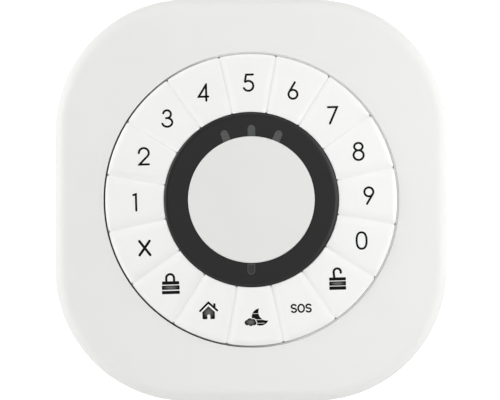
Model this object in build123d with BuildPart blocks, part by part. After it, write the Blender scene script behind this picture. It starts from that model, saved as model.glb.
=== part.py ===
# Alarm keypad panel for a wall: a rounded-square unit with a ring of sixteen keys round a
# tag-reader disc, on a wall plate that stays behind when the unit is lifted off.
#
# Frame: the back of the wall plate lies in the plane Y = 0 and the origin is at its centre.
# +X is to the right of someone facing the keys, +Z is up, and the keys face -Y.
# A height below is a distance from the wall, so the height h is the plane Y = -h.

from build123d import *
import os
from math import atan, cos, degrees, radians, sin

os.makedirs("parts", exist_ok=True)

# ================================================================ driving dimensions, mm

WIDTH = 110.0                # housing, along X
HEIGHT = 112.8               # housing, along Z
CORNER_RADIUS = 37.3         # of the housing's outline
CLEARANCE = 0.3              # between parts that only pass each other

# Wall plate: a shallow dish that flares from the wall to the parting line.
PLATE_HEIGHT = 7.0
PLATE_FLOOR = 2.2
PLATE_WALL = 1.8
PLATE_INSET_AT_WALL = 3.0
PLATE_INSET_AT_RIM = 0.6
PLATE_RIB = 1.2
PLATE_RIB_X = 69.0
PLATE_RIB_Z = 65.0
WALL_SCREW_X = 76.0          # hole to hole
WALL_SCREW_Z = 60.0
WALL_SCREW_RADIUS = 2.2      # clearance for a 4 mm countersunk screw
WALL_SCREW_HEAD = 3.9
SCREW_PAD_RADIUS = 6.0
SCREW_PAD_HEIGHT = 3.2
NOTCH_WIDTH = 16.0           # in the lower rim, to lever the unit off
NOTCH_DEPTH = 1.6
SNAP_X = 20.0                # snap arms that hold the unit
SNAP_Z = 43.5
SNAP_WIDTH = 8.0
SNAP_THICKNESS = 1.6
SNAP_TOP = 11.0
SNAP_BARB = 0.9
STRIP_X = 22.0               # adhesive strips in the back of the plate
STRIP_WIDTH = 18.0
STRIP_LENGTH = 72.0
STRIP_DEPTH = 0.8

# Front cover.
COVER_BACK = 7.3
COVER_FRONT = 27.2
COVER_WALL = 2.2
COVER_DRAFT = 1.5            # degrees
COVER_EDGE_RADIUS = 3.2
APERTURE_RADIUS = 41.05
APERTURE_EDGE_RADIUS = 0.2
COLLAR_WALL = 1.6

# Rear housing with the battery bay.
REAR_PANEL = 3.8
REAR_PANEL_THICKNESS = 1.6
REAR_INSET = 6.0
REAR_WALL = 1.6
FLANGE_BOTTOM = 7.8
FLANGE_TOP = 9.6
BAY_WALL = 1.4
BAY_MOUTH = 2.8
BAY_ROOF = 17.6

# Batteries: four AA cells side by side, standing along Z.
CELL_COUNT = 4
CELL_RADIUS = 7.15
CELL_LENGTH = 49.5
CELL_NUB_RADIUS = 2.7
CELL_NUB_LENGTH = 1.0
CELL_PITCH = 15.0
CELL_HEIGHT = 10.2           # of the cells' axes
SPRING_LENGTH = 5.3
SPRING_RADIUS = 3.4
SPRING_PITCH = 1.5
SPRING_WIRE = 0.4            # radius
CONTACT_THICKNESS = 0.4
CONTACT_SIZE = 10.0

# Long screws through the rear housing into the front cover.
CORNER_BOSS_X = 36.9
CORNER_BOSS_Z = 38.1
CORNER_BOSS_RADIUS = 3.5
COVER_SCREW_RADIUS = 1.25
COVER_SCREW_HEAD = 2.4
COVER_SCREW_HEAD_HEIGHT = 1.7
COVER_SCREW_SEAT = 6.2
COVER_SCREW_BITE = 7.0

# Circuit board and its parts.
BOARD_BACK = 19.6
BOARD_FRONT = 21.2
BOARD_RADIUS = 47.5
BOARD_SCREW_CIRCLE = 45.3
BOARD_SCREW_COUNT = 6
BOARD_SCREW_RADIUS = 0.95
BOARD_SCREW_HEAD = 1.9
BOARD_SCREW_HEAD_HEIGHT = 1.1
BOARD_SCREW_BITE = 3.0
BOARD_BOSS_RADIUS = 2.3
CHIP_Z = 36.2
CHIP_SIZE = 10.0
CHIP_HEIGHT = 1.2
RADIO_X = 14.0
RADIO_Z = 11.0
RADIO_HEIGHT = 2.4
ANTENNA_Z = -38.0
ANTENNA_LENGTH = 18.0
ANTENNA_RADIUS = 1.9
ANTENNA_PITCH = 1.5
ANTENNA_WIRE = 0.35          # radius
BUZZER_X = -40.0
BUZZER_Z = 8.0
BUZZER_RADIUS = 5.5
BUZZER_HEIGHT = 4.8
LED_SIZE = 1.6
LED_HEIGHT = 0.8

# Lift-off tamper switch and the pin that the wall plate presses.
TAMPER_X = 40.0
TAMPER_Z = -8.0
TAMPER_TRAVEL = 1.5
TAMPER_SWITCH_SIZE = 6.0
TAMPER_SWITCH_BOTTOM = 15.6
TAMPER_BUTTON_HEIGHT = 0.4
TAMPER_PIN_RADIUS = 1.5
TAMPER_GUIDE_TOP = 12.0

# Keys: sixteen wedges, clockwise from the top, the pattern turned a little from upright.
KEY_NAMES = ["5", "6", "7", "8", "9", "0", "disarm", "sos",
             "night", "home", "arm", "x", "1", "2", "3", "4"]
KEY_COUNT = len(KEY_NAMES)
KEY_PITCH = 360 / KEY_COUNT
KEY_TURN = 1.55              # degrees anticlockwise, seen from the front
KEY_TOP = 28.0
KEY_INNER_RADIUS = 24.45
KEY_OUTER_RADIUS = 40.6
KEY_CENTRE_RADIUS = 32.6
KEY_GAP = 0.4                # between two keys, filled by a blade of the web
KEY_DEPTH = 2.4
KEY_ROOF = 1.2
KEY_WALL = 1.0
KEY_CORNER_RADIUS = 0.9
KEY_EDGE_RADIUS = 0.8
KEY_STEM_RADIUS = 2.0

# Silicone dome mat under the keys, and its contact pills.
MAT_THICKNESS = 0.8
MAT_INNER_RADIUS = 25.0
DOME_RADIUS = 4.0
DOME_TOP_RADIUS = 2.6
DOME_TOP = 24.0
DOME_CEILING = 22.9
DOME_SKIN = 0.4
PILL_RADIUS = 1.6
PILL_THICKNESS = 0.4

# Frame that guides the keys and carries the ring and the disc.
FRAME_RADIUS = 40.9
FRAME_PLATE = 1.0
FRAME_RIM = 1.4
FRAME_RIB_HEIGHT = 0.9
FRAME_RIB_WIDTH = 1.0
FRAME_DOME_OPENING = 4.7
HUB_RADIUS = 24.0
HUB_WALL = 1.6

# White web between the keys: two flat hoops joined by sixteen blades, and a rim in the gap
# between the keys and the cover.
WEB_HOOP_HEIGHT = 0.5
WEB_HOOP_WIDTH = 0.8
WEB_BLADE = 0.3
WEB_BLADE_TOP = 27.0
WEB_RIM = 0.3
WEB_RIM_TOP = 26.4

# Smoked ring with its windows, the disc, and the tag reader under it.
RING_BOTTOM = 26.6
RING_TOP = 28.3
RING_INNER_RADIUS = 17.7
RING_OUTER_RADIUS = 24.3
RING_EDGE_WIDTH = 1.3        # the outer edge rounds off over this width
RING_EDGE_DROP = 0.55        # down to this much below the top
WINDOW_ANGLES = [67.5, 90.0, 112.5, 270.0]
WINDOW_WIDTH = 2.2
WINDOW_OUTER_RADIUS = 20.8
WINDOW_SINK = 0.05
WINDOW_FIT = 0.03
LED_CIRCLE = 19.3
DISC_RADIUS = 17.6
DISC_BOTTOM = 27.0
DISC_TOP = 28.5
DISC_EDGE_RADIUS = 0.35
READER_RADIUS = 15.6
READER_BOTTOM = 25.2
READER_THICKNESS = 0.8
COIL_INNER_RADIUS = 9.0
COIL_OUTER_RADIUS = 14.5
COIL_THICKNESS = 0.25

# ---------------------------------------------------------------- worked out from those

cover_depth = COVER_FRONT - COVER_BACK
cover_inside = COVER_FRONT - COVER_WALL          # inner face of the front wall
mat_top = BOARD_FRONT + MAT_THICKNESS
frame_top = mat_top + FRAME_PLATE
web_foot = frame_top + FRAME_RIB_HEIGHT
bay_half_x = CELL_PITCH * CELL_COUNT / 2 + CLEARANCE
contact_face = (CELL_LENGTH + CELL_NUB_LENGTH + SPRING_LENGTH) / 2
bay_half_z = contact_face + CONTACT_THICKNESS
cell_xs = [CELL_PITCH * (index - (CELL_COUNT - 1) / 2) for index in range(CELL_COUNT)]


# ================================================================ shared helpers

def level(height):
    """The plane at a height above the wall, seen from the front."""
    return Plane.XZ.offset(height)


def housing_outline(inset, mode=Mode.ADD):
    """The housing's rounded-square outline, moved inwards."""
    RectangleRounded(WIDTH - 2 * inset, HEIGHT - 2 * inset, CORNER_RADIUS - inset, mode=mode)


def ring_outline(outer_radius, inner_radius):
    """A flat ring round the origin."""
    Circle(outer_radius)
    Circle(inner_radius, mode=Mode.SUBTRACT)


def wedge_outline(half_gap, inner_radius, outer_radius):
    """One key seen from the front, pointing up, its sides half a gap inside the sector's."""
    half_angle = radians(KEY_PITCH / 2)
    apex = half_gap / sin(half_angle)
    reach = 2 * outer_radius
    ring_outline(outer_radius, inner_radius)
    Polygon((0, apex),
            (reach * sin(half_angle), apex + reach * cos(half_angle)),
            (-reach * sin(half_angle), apex + reach * cos(half_angle)),
            align=None, mode=Mode.INTERSECT)


def window_outline(play):
    """The four U-shaped windows at the inner edge of the smoked ring."""
    for angle in WINDOW_ANGLES:
        with Locations(Location((0, 0, 0), (0, 0, angle))):
            round_end = WINDOW_OUTER_RADIUS - WINDOW_WIDTH / 2
            straight = round_end - RING_INNER_RADIUS + 1
            with Locations((round_end - straight / 2, 0)):
                Rectangle(straight, WINDOW_WIDTH - 2 * play)
            with Locations((round_end, 0)):
                Circle(WINDOW_WIDTH / 2 - play)


def save(builder, name):
    builder.part.label = name
    export_step(builder.part, "parts/" + name + ".step")


corner_bosses = GridLocations(2 * CORNER_BOSS_X, 2 * CORNER_BOSS_Z, 2, 2)
board_screw_places = PolarLocations(BOARD_SCREW_CIRCLE, BOARD_SCREW_COUNT, start_angle=90)
key_places = PolarLocations(KEY_CENTRE_RADIUS, KEY_COUNT, start_angle=90 + KEY_TURN)
snap_places = GridLocations(2 * SNAP_X, 2 * SNAP_Z, 2, 2)
strip_places = GridLocations(2 * STRIP_X, 1, 2, 1)
led_places = [Location((LED_CIRCLE * cos(radians(angle)), LED_CIRCLE * sin(radians(angle)), 0),
                       (0, 0, angle)) for angle in WINDOW_ANGLES]


# ================================================================ wall plate

plate_lean = (PLATE_INSET_AT_WALL - PLATE_INSET_AT_RIM) / PLATE_HEIGHT
plate_flare = degrees(atan(plate_lean))

with BuildPart() as wall_plate:
    with BuildSketch(level(0)):
        housing_outline(PLATE_INSET_AT_WALL)
    extrude(amount=PLATE_HEIGHT, taper=-plate_flare)
    with BuildSketch(level(PLATE_FLOOR)):
        housing_outline(PLATE_INSET_AT_WALL - plate_lean * PLATE_FLOOR + PLATE_WALL)
    extrude(amount=PLATE_HEIGHT, taper=-plate_flare, mode=Mode.SUBTRACT)
    # A low rib frames the space of the battery bay, and pads carry the screw holes.
    with BuildSketch(level(PLATE_FLOOR)):
        RectangleRounded(PLATE_RIB_X, PLATE_RIB_Z, 3)
        RectangleRounded(PLATE_RIB_X - 2 * PLATE_RIB, PLATE_RIB_Z - 2 * PLATE_RIB, 2,
                         mode=Mode.SUBTRACT)
        with GridLocations(WALL_SCREW_X, WALL_SCREW_Z, 2, 2):
            Circle(SCREW_PAD_RADIUS)
    extrude(amount=SCREW_PAD_HEIGHT - PLATE_FLOOR)
    with Locations(level(SCREW_PAD_HEIGHT)):
        with GridLocations(WALL_SCREW_X, WALL_SCREW_Z, 2, 2):
            CounterSinkHole(WALL_SCREW_RADIUS, WALL_SCREW_HEAD, counter_sink_angle=90)
    # Snap arms with outward barbs, two above the bay and two below it.
    with BuildSketch(level(PLATE_FLOOR)):
        with snap_places:
            Rectangle(SNAP_WIDTH, SNAP_THICKNESS)
    extrude(amount=SNAP_TOP - PLATE_FLOOR)
    for side in (-1, 1):
        root = side * (SNAP_Z + SNAP_THICKNESS / 2)
        for arm_x in (-SNAP_X, SNAP_X):
            with BuildSketch(Plane.YZ.offset(arm_x - SNAP_WIDTH / 2)):
                Polygon((-SNAP_TOP, root), (-SNAP_TOP + 2.4, root),
                        (-SNAP_TOP + 1.6, root + side * SNAP_BARB), align=None)
            extrude(amount=SNAP_WIDTH)
    # Recesses for the adhesive strips, open to the wall.
    with BuildSketch(level(0)):
        with strip_places:
            RectangleRounded(STRIP_WIDTH, STRIP_LENGTH, 2)
    extrude(amount=STRIP_DEPTH, mode=Mode.SUBTRACT)
    with BuildSketch(level(PLATE_HEIGHT)):
        with Locations((0, -HEIGHT / 2)):
            SlotOverall(NOTCH_WIDTH, 2 * COVER_WALL + 2)
    extrude(amount=-NOTCH_DEPTH, mode=Mode.SUBTRACT)
save(wall_plate, "wall_plate")

with BuildPart() as adhesive_strips:
    with BuildSketch(level(0)):
        with strip_places:
            RectangleRounded(STRIP_WIDTH - CLEARANCE, STRIP_LENGTH - CLEARANCE, 1.8)
    extrude(amount=STRIP_DEPTH)
save(adhesive_strips, "adhesive_strips")


# ================================================================ front cover

with BuildPart() as front_cover:
    with BuildSketch(level(COVER_BACK)):
        housing_outline(0)
    extrude(amount=cover_depth, taper=COVER_DRAFT)
    fillet(front_cover.faces().sort_by(Axis.Y)[0].edges(), COVER_EDGE_RADIUS)
    with BuildSketch(level(COVER_BACK)):
        housing_outline(COVER_WALL)
    extrude(amount=cover_depth - COVER_WALL, taper=COVER_DRAFT, mode=Mode.SUBTRACT)
    # Collar round the aperture, down to just above the board.
    with BuildSketch(level(BOARD_FRONT + 0.1)):
        Circle(APERTURE_RADIUS + COLLAR_WALL)
    extrude(until=Until.NEXT)
    # Corner bosses for the long screws, and short ones for the board's screws.
    with BuildSketch(level(FLANGE_TOP)):
        with corner_bosses:
            Circle(CORNER_BOSS_RADIUS)
    extrude(amount=cover_inside - FLANGE_TOP)
    with BuildSketch(level(BOARD_FRONT)):
        with board_screw_places:
            Circle(BOARD_BOSS_RADIUS)
    extrude(amount=cover_inside - BOARD_FRONT)
    with BuildSketch(level(BOARD_FRONT)):
        Circle(APERTURE_RADIUS)
    extrude(amount=COVER_FRONT, mode=Mode.SUBTRACT)
    with BuildSketch(level(FLANGE_TOP)):
        with corner_bosses:
            Circle(COVER_SCREW_RADIUS + 0.05)
    extrude(amount=COVER_SCREW_BITE + 1, mode=Mode.SUBTRACT)
    with BuildSketch(level(BOARD_FRONT)):
        with board_screw_places:
            Circle(BOARD_SCREW_RADIUS + 0.05)
    extrude(amount=BOARD_SCREW_BITE + 0.5, mode=Mode.SUBTRACT)
    # Soft edge where the cover meets the key ring.
    aperture_rim = (front_cover.edges().filter_by(GeomType.CIRCLE)
                    .filter_by(lambda edge: abs(edge.radius - APERTURE_RADIUS) < 0.01)
                    .sort_by(Axis.Y)[0])
    fillet(aperture_rim, APERTURE_EDGE_RADIUS)
save(front_cover, "front_cover")


# ================================================================ rear housing

with BuildPart() as rear_housing:
    with BuildSketch(level(REAR_PANEL)):
        housing_outline(REAR_INSET)
    extrude(amount=FLANGE_TOP - REAR_PANEL)
    fillet(rear_housing.faces().sort_by(Axis.Y)[-1].edges(), 1.0)
    with BuildSketch(level(REAR_PANEL + REAR_PANEL_THICKNESS)):
        housing_outline(REAR_INSET + REAR_WALL)
    extrude(amount=FLANGE_TOP, mode=Mode.SUBTRACT)
    # Flange that closes the mouth of the front cover.
    with BuildSketch(level(FLANGE_BOTTOM)):
        housing_outline(COVER_WALL + CLEARANCE)
        housing_outline(REAR_INSET + REAR_WALL / 2, mode=Mode.SUBTRACT)
    extrude(amount=FLANGE_TOP - FLANGE_BOTTOM)
    # Battery bay: a box that opens towards the wall, with cusps between the cells.
    with BuildSketch(level(BAY_MOUTH)):
        Rectangle(2 * (bay_half_x + BAY_WALL), 2 * (bay_half_z + BAY_WALL))
    extrude(amount=BAY_ROOF + BAY_WALL - BAY_MOUTH)
    with BuildSketch(level(BAY_MOUTH)):
        Rectangle(2 * bay_half_x, 2 * bay_half_z)
    extrude(amount=BAY_ROOF - BAY_MOUTH, mode=Mode.SUBTRACT)
    with BuildSketch(Plane.XY.offset(-CELL_LENGTH / 2)):
        with Locations((-CELL_PITCH, -BAY_ROOF), (0, -BAY_ROOF), (CELL_PITCH, -BAY_ROOF)):
            Polygon((-3.3, 0), (3.3, 0), (0.25, 5.2), (-0.25, 5.2), align=None)
    extrude(amount=CELL_LENGTH)
    # Posts for the long screws, whose heads are sunk into the back.
    with BuildSketch(level(REAR_PANEL)):
        with corner_bosses:
            Circle(CORNER_BOSS_RADIUS)
    extrude(amount=FLANGE_TOP - REAR_PANEL)
    with BuildSketch(level(REAR_PANEL)):
        with corner_bosses:
            Circle(COVER_SCREW_RADIUS + 0.2)
    extrude(amount=FLANGE_TOP, mode=Mode.SUBTRACT)
    with BuildSketch(level(REAR_PANEL)):
        with corner_bosses:
            Circle(COVER_SCREW_HEAD + 0.2)
    extrude(amount=COVER_SCREW_SEAT - REAR_PANEL, mode=Mode.SUBTRACT)
    # Slots for the wall plate's snap arms, and sound slots behind the buzzer.
    with BuildSketch(level(REAR_PANEL)):
        with snap_places:
            Rectangle(SNAP_WIDTH + 4 * CLEARANCE, SNAP_THICKNESS + 2 * SNAP_BARB + 4 * CLEARANCE)
        with Locations((BUZZER_X, BUZZER_Z)):
            with GridLocations(1, 2.6, 1, 4):
                SlotOverall(8, 1.2)
    extrude(amount=REAR_PANEL_THICKNESS, mode=Mode.SUBTRACT)
    # Guide tube of the tamper pin.
    with BuildSketch(level(REAR_PANEL)):
        with Locations((TAMPER_X, TAMPER_Z)):
            Circle(TAMPER_PIN_RADIUS + 1.4)
    extrude(amount=TAMPER_GUIDE_TOP - REAR_PANEL)
    with BuildSketch(level(REAR_PANEL)):
        with Locations((TAMPER_X, TAMPER_Z)):
            Circle(TAMPER_PIN_RADIUS + 0.15)
    extrude(amount=TAMPER_GUIDE_TOP - REAR_PANEL, mode=Mode.SUBTRACT)
save(rear_housing, "rear_housing")


# ================================================================ batteries and contacts

for index, cell_x in enumerate(cell_xs):
    # Neighbouring cells stand head to foot.
    end = 1 if index % 2 == 0 else -1
    shoulder = Plane.XY.offset(end * (contact_face - CELL_NUB_LENGTH))
    with BuildPart() as battery:
        with BuildSketch(shoulder):
            with Locations((cell_x, -CELL_HEIGHT)):
                Circle(CELL_RADIUS)
        extrude(amount=-end * CELL_LENGTH)
        fillet(battery.edges().filter_by(GeomType.CIRCLE), 0.5)
        with BuildSketch(shoulder):
            with Locations((cell_x, -CELL_HEIGHT)):
                Circle(CELL_NUB_RADIUS)
        extrude(amount=end * CELL_NUB_LENGTH)
    save(battery, "battery_" + str(index + 1))

with BuildPart() as battery_contacts:
    # Two bridges at the top; two terminals and a bridge at the foot.
    for end, pairs in ((1, ((0, 1), (2, 3))), (-1, ((0, 0), (1, 2), (3, 3)))):
        for first, last in pairs:
            with BuildSketch(Plane.XY.offset(end * bay_half_z)):
                with Locations(((cell_xs[first] + cell_xs[last]) / 2, -CELL_HEIGHT)):
                    Rectangle(cell_xs[last] - cell_xs[first] + CONTACT_SIZE, CONTACT_SIZE)
            extrude(amount=-end * CONTACT_THICKNESS)
save(battery_contacts, "battery_contacts")

with BuildPart() as battery_springs:
    for index, cell_x in enumerate(cell_xs):
        end = -1 if index % 2 == 0 else 1
        with BuildLine() as coil:
            Helix(SPRING_PITCH, SPRING_LENGTH - 2 * SPRING_WIRE, SPRING_RADIUS,
                  center=(cell_x, -CELL_HEIGHT, end * (contact_face - SPRING_WIRE)),
                  direction=(0, 0, -end))
        with BuildSketch(Plane(coil.line @ 0, z_dir=coil.line % 0)):
            Circle(SPRING_WIRE)
        sweep(path=coil.line, is_frenet=True)
save(battery_springs, "battery_springs")


# ================================================================ circuit board and its parts

with BuildPart() as circuit_board:
    with BuildSketch(level(BOARD_BACK)):
        Circle(BOARD_RADIUS)
        with board_screw_places:
            Circle(BOARD_SCREW_RADIUS + 0.3, mode=Mode.SUBTRACT)
    extrude(amount=BOARD_FRONT - BOARD_BACK)
save(circuit_board, "circuit_board")

with BuildPart() as controller_chip:
    with BuildSketch(level(BOARD_BACK)):
        with Locations((0, CHIP_Z)):
            Rectangle(CHIP_SIZE, CHIP_SIZE)
    extrude(amount=-CHIP_HEIGHT)
    chamfer(controller_chip.edges().filter_by(Axis.Y), 0.4)
    # Rows of legs on all four sides.
    with BuildSketch(level(BOARD_BACK)):
        with Locations((0, CHIP_Z)):
            with PolarLocations(CHIP_SIZE / 2, 4):
                with GridLocations(1, 0.9, 1, 9):
                    Rectangle(2.4, 0.4)
    extrude(amount=-0.3)
save(controller_chip, "controller_chip")

with BuildPart() as radio_module:
    with BuildSketch(level(BOARD_FRONT)):
        RectangleRounded(RADIO_X, RADIO_Z, 0.8)
    extrude(amount=RADIO_HEIGHT)
    fillet(radio_module.faces().sort_by(Axis.Y)[0].edges(), 0.4)
save(radio_module, "radio_module")

with BuildPart() as radio_antenna:
    # A coil of wire that hangs from the back of the board, along X.
    antenna_height = BOARD_BACK - ANTENNA_RADIUS - ANTENNA_WIRE
    with BuildLine() as antenna_line:
        Helix(ANTENNA_PITCH, ANTENNA_LENGTH, ANTENNA_RADIUS,
              center=(-ANTENNA_LENGTH / 2, -antenna_height, ANTENNA_Z), direction=(1, 0, 0))
    with BuildSketch(Plane(antenna_line.line @ 0, z_dir=antenna_line.line % 0)):
        Circle(ANTENNA_WIRE)
    sweep(path=antenna_line.line, is_frenet=True)
save(radio_antenna, "radio_antenna")

with BuildPart() as buzzer:
    with BuildSketch(level(BOARD_BACK)):
        with Locations((BUZZER_X, BUZZER_Z)):
            Circle(BUZZER_RADIUS)
    extrude(amount=-BUZZER_HEIGHT)
    fillet(buzzer.faces().sort_by(Axis.Y)[-1].edges(), 0.6)
    with BuildSketch(level(BOARD_BACK - BUZZER_HEIGHT)):
        with Locations((BUZZER_X, BUZZER_Z)):
            Circle(1.2)
    extrude(amount=1.5, mode=Mode.SUBTRACT)
save(buzzer, "buzzer")

with BuildPart() as status_leds:
    with BuildSketch(level(BOARD_FRONT)):
        with Locations(*led_places):
            Rectangle(LED_SIZE, LED_SIZE)
    extrude(amount=LED_HEIGHT)
save(status_leds, "status_leds")


# ================================================================ screws

with BuildPart() as board_screws:
    with BuildSketch(level(BOARD_BACK)):
        with board_screw_places:
            Circle(BOARD_SCREW_HEAD)
    extrude(amount=-BOARD_SCREW_HEAD_HEIGHT)
    with BuildSketch(level(BOARD_BACK)):
        with board_screw_places:
            Circle(BOARD_SCREW_RADIUS)
    extrude(amount=BOARD_FRONT - BOARD_BACK + BOARD_SCREW_BITE)
    with BuildSketch(level(BOARD_BACK - BOARD_SCREW_HEAD_HEIGHT)):
        with board_screw_places:
            Rectangle(2.2, 0.5)
            Rectangle(0.5, 2.2)
    extrude(amount=0.6, mode=Mode.SUBTRACT)
save(board_screws, "board_screws")

with BuildPart() as cover_screws:
    with BuildSketch(level(COVER_SCREW_SEAT)):
        with corner_bosses:
            Circle(COVER_SCREW_HEAD)
    extrude(amount=-COVER_SCREW_HEAD_HEIGHT)
    fillet(cover_screws.faces().group_by(Axis.Y)[-1].edges(), 0.5)
    with BuildSketch(level(COVER_SCREW_SEAT)):
        with corner_bosses:
            Circle(COVER_SCREW_RADIUS)
    extrude(amount=FLANGE_TOP - COVER_SCREW_SEAT + COVER_SCREW_BITE)
    with BuildSketch(level(COVER_SCREW_SEAT - COVER_SCREW_HEAD_HEIGHT)):
        with corner_bosses:
            Rectangle(3.0, 0.6)
            Rectangle(0.6, 3.0)
    extrude(amount=0.9, mode=Mode.SUBTRACT)
save(cover_screws, "cover_screws")


# ================================================================ tamper switch and its pin

with BuildPart() as tamper_switch:
    with BuildSketch(level(BOARD_BACK)):
        with Locations((TAMPER_X, TAMPER_Z)):
            Rectangle(TAMPER_SWITCH_SIZE, TAMPER_SWITCH_SIZE)
    extrude(amount=TAMPER_SWITCH_BOTTOM - BOARD_BACK)
    chamfer(tamper_switch.edges().filter_by(Axis.Y), 0.5)
    with BuildSketch(level(TAMPER_SWITCH_BOTTOM)):
        with Locations((TAMPER_X, TAMPER_Z)):
            Circle(TAMPER_PIN_RADIUS)
    extrude(amount=-TAMPER_BUTTON_HEIGHT)
save(tamper_switch, "tamper_switch")

pin_bottom = PLATE_FLOOR + 0.05
pin_top = TAMPER_SWITCH_BOTTOM - TAMPER_BUTTON_HEIGHT - 0.05
with BuildPart() as tamper_pin:
    with BuildSketch(level(pin_bottom)):
        with Locations((TAMPER_X, TAMPER_Z)):
            Circle(TAMPER_PIN_RADIUS)
    extrude(amount=pin_top - pin_bottom)
    fillet(tamper_pin.faces().sort_by(Axis.Y)[-1].edges(), 0.6)
    # Collar that stops on the guide tube when the unit is off the wall.
    with BuildSketch(level(TAMPER_GUIDE_TOP + TAMPER_TRAVEL + CLEARANCE)):
        with Locations((TAMPER_X, TAMPER_Z)):
            Circle(TAMPER_PIN_RADIUS + 1.1)
    extrude(amount=0.8)
save(tamper_pin, "tamper_pin")


# ================================================================ dome mat and its pills

dome_taper = degrees(atan((DOME_RADIUS - DOME_TOP_RADIUS) / (DOME_TOP - mat_top)))

with BuildPart() as dome_mat:
    with BuildSketch(level(BOARD_FRONT)):
        ring_outline(FRAME_RADIUS, MAT_INNER_RADIUS)
    extrude(amount=MAT_THICKNESS)
    with BuildSketch(level(mat_top)):
        with key_places:
            Circle(DOME_RADIUS)
    extrude(amount=DOME_TOP - mat_top, taper=dome_taper)
    with BuildSketch(level(BOARD_FRONT)):
        with key_places:
            Circle(DOME_RADIUS - DOME_SKIN)
    extrude(amount=DOME_CEILING - BOARD_FRONT, taper=dome_taper, mode=Mode.SUBTRACT)
save(dome_mat, "dome_mat")

with BuildPart() as contact_pills:
    with BuildSketch(level(DOME_CEILING)):
        with key_places:
            Circle(PILL_RADIUS)
    extrude(amount=-PILL_THICKNESS)
save(contact_pills, "contact_pills")


# ================================================================ key frame

rib_start = HUB_RADIUS - HUB_WALL / 2
rib_end = FRAME_RADIUS - FRAME_RIM / 2

with BuildPart() as key_frame:
    with BuildSketch(level(mat_top)):
        Circle(FRAME_RADIUS)
        Rectangle(RADIO_X + 1, RADIO_Z + 1, mode=Mode.SUBTRACT)
        with key_places:
            Circle(FRAME_DOME_OPENING, mode=Mode.SUBTRACT)
        with Locations(*led_places):
            Rectangle(4.4, WINDOW_WIDTH + 0.8, mode=Mode.SUBTRACT)
    extrude(amount=FRAME_PLATE)
    # Rim and radial ribs that carry the web.
    with BuildSketch(level(frame_top)):
        ring_outline(FRAME_RADIUS, FRAME_RADIUS - FRAME_RIM)
        with PolarLocations((rib_start + rib_end) / 2, KEY_COUNT,
                            start_angle=90 + KEY_TURN + KEY_PITCH / 2):
            Rectangle(rib_end - rib_start, FRAME_RIB_WIDTH)
    extrude(amount=FRAME_RIB_HEIGHT)
    # The outer hub wall carries the ring; the inner one the disc, with a ledge for the reader.
    with BuildSketch(level(frame_top)):
        ring_outline(HUB_RADIUS, HUB_RADIUS - HUB_WALL)
    extrude(amount=RING_BOTTOM - frame_top)
    with BuildSketch(level(frame_top)):
        ring_outline(DISC_RADIUS - 0.2, READER_RADIUS + 0.1)
    extrude(amount=DISC_BOTTOM - frame_top)
    with BuildSketch(level(frame_top)):
        ring_outline(READER_RADIUS + 0.2, READER_RADIUS - 1.4)
    extrude(amount=READER_BOTTOM - frame_top)
save(key_frame, "key_frame")


# ================================================================ web between the keys

hoop_inner = HUB_RADIUS + 0.1
hoop_outer = APERTURE_RADIUS - 0.1
blade_start = hoop_inner + WEB_HOOP_WIDTH / 2
blade_end = hoop_outer - WEB_RIM / 2
blade_places = PolarLocations((blade_start + blade_end) / 2, KEY_COUNT,
                              start_angle=90 + KEY_TURN + KEY_PITCH / 2)

with BuildPart() as key_web:
    with BuildSketch(level(web_foot)):
        ring_outline(hoop_outer, hoop_outer - WEB_HOOP_WIDTH - WEB_RIM)
    with BuildSketch(level(web_foot)):
        ring_outline(hoop_inner + WEB_HOOP_WIDTH, hoop_inner)
    with BuildSketch(level(web_foot)):
        with blade_places:
            Rectangle(blade_end - blade_start, FRAME_RIB_WIDTH)
    extrude(amount=WEB_HOOP_HEIGHT)
    with BuildSketch(level(web_foot)):
        ring_outline(hoop_outer, hoop_outer - WEB_RIM)
    extrude(amount=WEB_RIM_TOP - web_foot)
    with BuildSketch(level(web_foot)):
        with blade_places:
            Rectangle(blade_end - blade_start, WEB_BLADE)
    extrude(amount=WEB_BLADE_TOP - web_foot)
save(key_web, "key_web")


# ================================================================ keys

key_bottom = KEY_TOP - KEY_DEPTH

for index, key_name in enumerate(KEY_NAMES):
    # A key's own up direction is along its wedge, from the disc outwards.
    key_turn = Location((0, 0, 0), (0, 0, KEY_TURN - index * KEY_PITCH))
    with BuildPart() as key:
        with BuildSketch(level(key_bottom) * key_turn):
            wedge_outline(KEY_GAP / 2, KEY_INNER_RADIUS, KEY_OUTER_RADIUS)
        extrude(amount=KEY_DEPTH)
        fillet(key.edges().filter_by(Axis.Y), KEY_CORNER_RADIUS)
        fillet(key.faces().sort_by(Axis.Y)[0].edges(), KEY_EDGE_RADIUS)
        with BuildSketch(level(key_bottom) * key_turn):
            wedge_outline(KEY_GAP / 2 + KEY_WALL,
                          KEY_INNER_RADIUS + KEY_WALL, KEY_OUTER_RADIUS - KEY_WALL)
        extrude(amount=KEY_DEPTH - KEY_ROOF, mode=Mode.SUBTRACT)
        # Stem that presses the dome.
        with BuildSketch(level(DOME_TOP + 0.05) * key_turn):
            with Locations((0, KEY_CENTRE_RADIUS)):
                Circle(KEY_STEM_RADIUS)
        extrude(amount=KEY_TOP - KEY_ROOF - DOME_TOP)
    save(key, "key_" + key_name)


# ================================================================ ring, windows, disc, reader

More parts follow.
